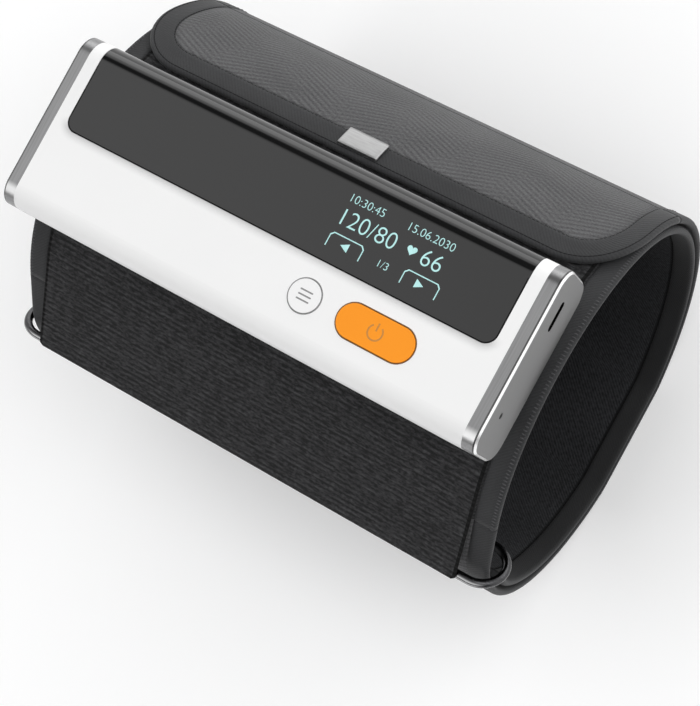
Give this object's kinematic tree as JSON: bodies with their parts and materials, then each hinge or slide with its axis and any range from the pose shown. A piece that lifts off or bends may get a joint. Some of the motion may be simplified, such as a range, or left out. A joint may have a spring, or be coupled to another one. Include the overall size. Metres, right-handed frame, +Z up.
{
  "type": "upper arm blood pressure monitor",
  "caption": "One-piece upper arm blood pressure monitor: a white bar with dark display window, menu and start buttons and metal end caps on a rolled cloth cuff with wire ring and closing flap.",
  "frame": {"origin": "on the flat strip on which the rolled cuff lies, under the axis of its tube and the middle of the monitor", "axes": "+X along the cuff's tube and the monitor, left to right as the display is read; +Y towards the display's upper edge; +Z up, out of the monitor's face"},
  "size_m": [0.1566, 0.111, 0.1287],
  "materials": {
    "white_plastic": "fine satin",
    "orange_plastic": "satin",
    "dark_glass": "polished",
    "satin_metal": "satin, bright chamfer",
    "steel": "plain",
    "wire_nickel": "dark polished plating",
    "board_laminate": "solder mask",
    "display_glass": "glossy",
    "black_moulding": "moulded",
    "clear_plastic": "polished",
    "battery_wrap": "shrink film",
    "soft_rubber": "matte",
    "cuff_cloth": "close twill",
    "lining_cloth": "fine twill",
    "ribbed_cloth": "fine ribs",
    "binding_tape": "smooth woven tape",
    "flap_cloth": "herringbone",
    "hook_tape": "hooks",
    "tab_silver": "satin"
  },
  "bodies": {
    "cuff": {"cuff_shell": "cuff_cloth", "arm_lining": "lining_cloth", "air_bladder": "soft_rubber", "wrap_strap": "cuff_cloth", "shell_binding_left": "binding_tape", "shell_binding_right": "binding_tape", "wrap_binding_left": "binding_tape", "wrap_binding_right": "binding_tape", "front_cover": "ribbed_cloth", "dock_plate": "black_moulding", "bladder_port": "black_moulding", "port_seal": "soft_rubber"},
    "ring": {"tension_ring": "wire_nickel", "ring_sleeve": "cuff_cloth"},
    "flap": {"closure_flap": "flap_cloth", "flap_binding": "binding_tape", "hook_patch": "hook_tape", "pull_tab": "tab_silver"},
    "monitor": {"front_housing": "white_plastic", "back_housing": "white_plastic", "display_window": "dark_glass", "end_cap_left": "satin_metal", "end_cap_right": "satin_metal", "case_screws": "steel", "main_board": "board_laminate", "display_panel": "display_glass", "button_switches": "black_moulding", "charging_socket": "steel", "light_pipe": "clear_plastic", "battery_pack": "battery_wrap", "pump_motor": "steel", "pump_mount": "soft_rubber", "pump_head": "black_moulding", "air_block": "black_moulding", "release_valve": "black_moulding", "pressure_sensor": "black_moulding"},
    "start_button": {"start_stop_button": "orange_plastic"},
    "menu_button": {"menu_button": "white_plastic"}
  },
  "joints": [
    {"name": "monitor_lift", "type": "slide", "parent": "cuff", "child": "monitor", "axis": [0, 0, 1], "range_m": [0, 0.02]},
    {"name": "start_press", "type": "slide", "parent": "monitor", "child": "start_button", "axis": [0, 0, -1], "range_m": [0, 0.0005], "stiffness_N_per_m": 900},
    {"name": "menu_press", "type": "slide", "parent": "monitor", "child": "menu_button", "axis": [0, 0, -1], "range_m": [0, 0.0005], "stiffness_N_per_m": 900},
    {"name": "flap_peel", "type": "hinge", "parent": "cuff", "child": "flap", "pos_m": [0, 0.05168, 0.07131], "axis": [-1, 0, 0], "range_deg": [0, 75]},
    {"name": "ring_swing", "type": "hinge", "parent": "cuff", "child": "ring", "pos_m": [0, -0.05403, 0.07303], "axis": [1, 0, 0], "range_deg": [-4, 4]}
  ]
}
